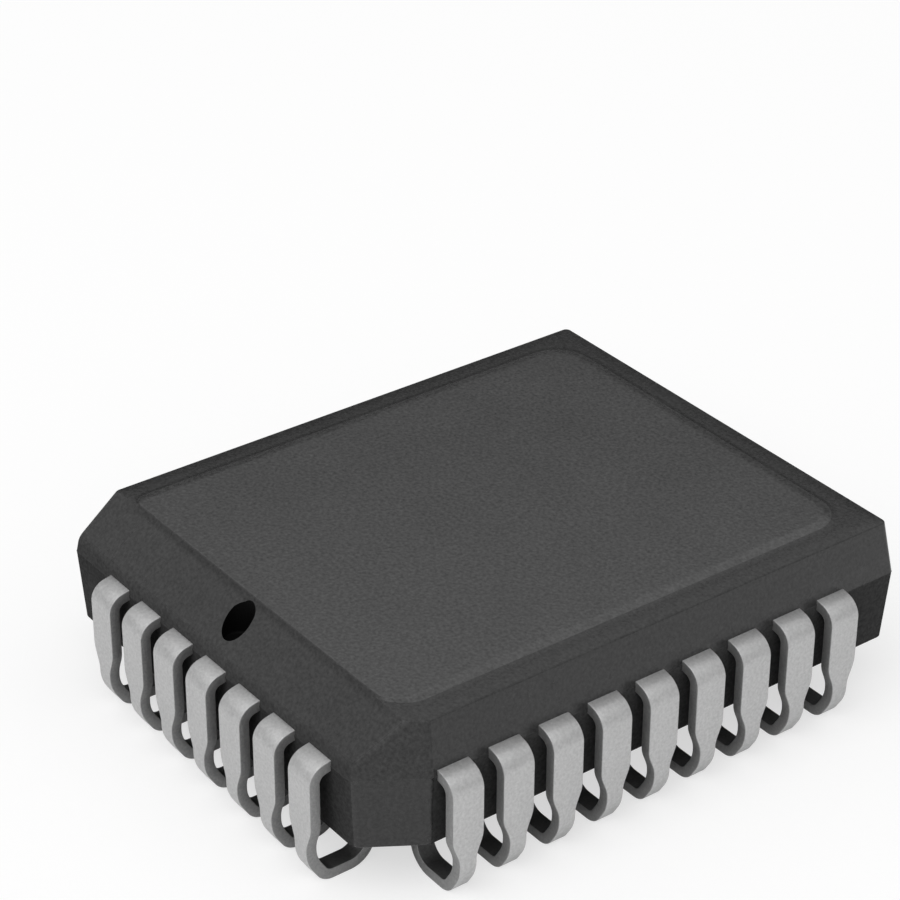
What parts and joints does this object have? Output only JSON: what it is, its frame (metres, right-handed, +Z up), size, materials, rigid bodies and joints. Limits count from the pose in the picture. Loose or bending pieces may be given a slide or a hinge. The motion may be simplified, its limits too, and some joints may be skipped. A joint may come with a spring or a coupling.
{
  "type": "eprom chip",
  "caption": "Moulded J-lead memory chip: bevelled dark epoxy block with hooked metal leads on all four sides.",
  "frame": {"origin": "middle of the plane that the lead hooks stand on, under the middle of the body", "axes": "+Z up through the top face, +Y towards the pin-1 end with the bevel and dimple, X across the two long lead rows"},
  "size_m": [0.0124, 0.015, 0.0043],
  "materials": {
    "moulding_compound": "dark grey moulded epoxy, finely etched on the raised field and smoother on the sides",
    "plated_lead": "satin tin plating on copper alloy, duller on the cut edges",
    "frame_copper": "bare copper alloy with a silver spot",
    "silicon": "polished silicon with fine circuit blocks",
    "silver_epoxy": "silver-filled adhesive",
    "gold_wire": "bright drawn gold"
  },
  "bodies": {
    "root": {"body": "moulding_compound", "lead_01": "plated_lead", "lead_02": "plated_lead", "lead_03": "plated_lead", "lead_04": "plated_lead", "lead_05": "plated_lead", "lead_06": "plated_lead", "lead_07": "plated_lead", "lead_08": "plated_lead", "lead_09": "plated_lead", "lead_10": "plated_lead", "lead_11": "plated_lead", "lead_12": "plated_lead", "lead_13": "plated_lead", "lead_14": "plated_lead", "lead_15": "plated_lead", "lead_16": "plated_lead", "lead_17": "plated_lead", "lead_18": "plated_lead", "lead_19": "plated_lead", "lead_20": "plated_lead", "lead_21": "plated_lead", "lead_22": "plated_lead", "lead_23": "plated_lead", "lead_24": "plated_lead", "lead_25": "plated_lead", "lead_26": "plated_lead", "lead_27": "plated_lead", "lead_28": "plated_lead", "lead_29": "plated_lead", "lead_30": "plated_lead", "lead_31": "plated_lead", "lead_32": "plated_lead", "die_pad": "frame_copper", "die_adhesive": "silver_epoxy", "die": "silicon", "bond_wires": "gold_wire"}
  },
  "joints": []
}
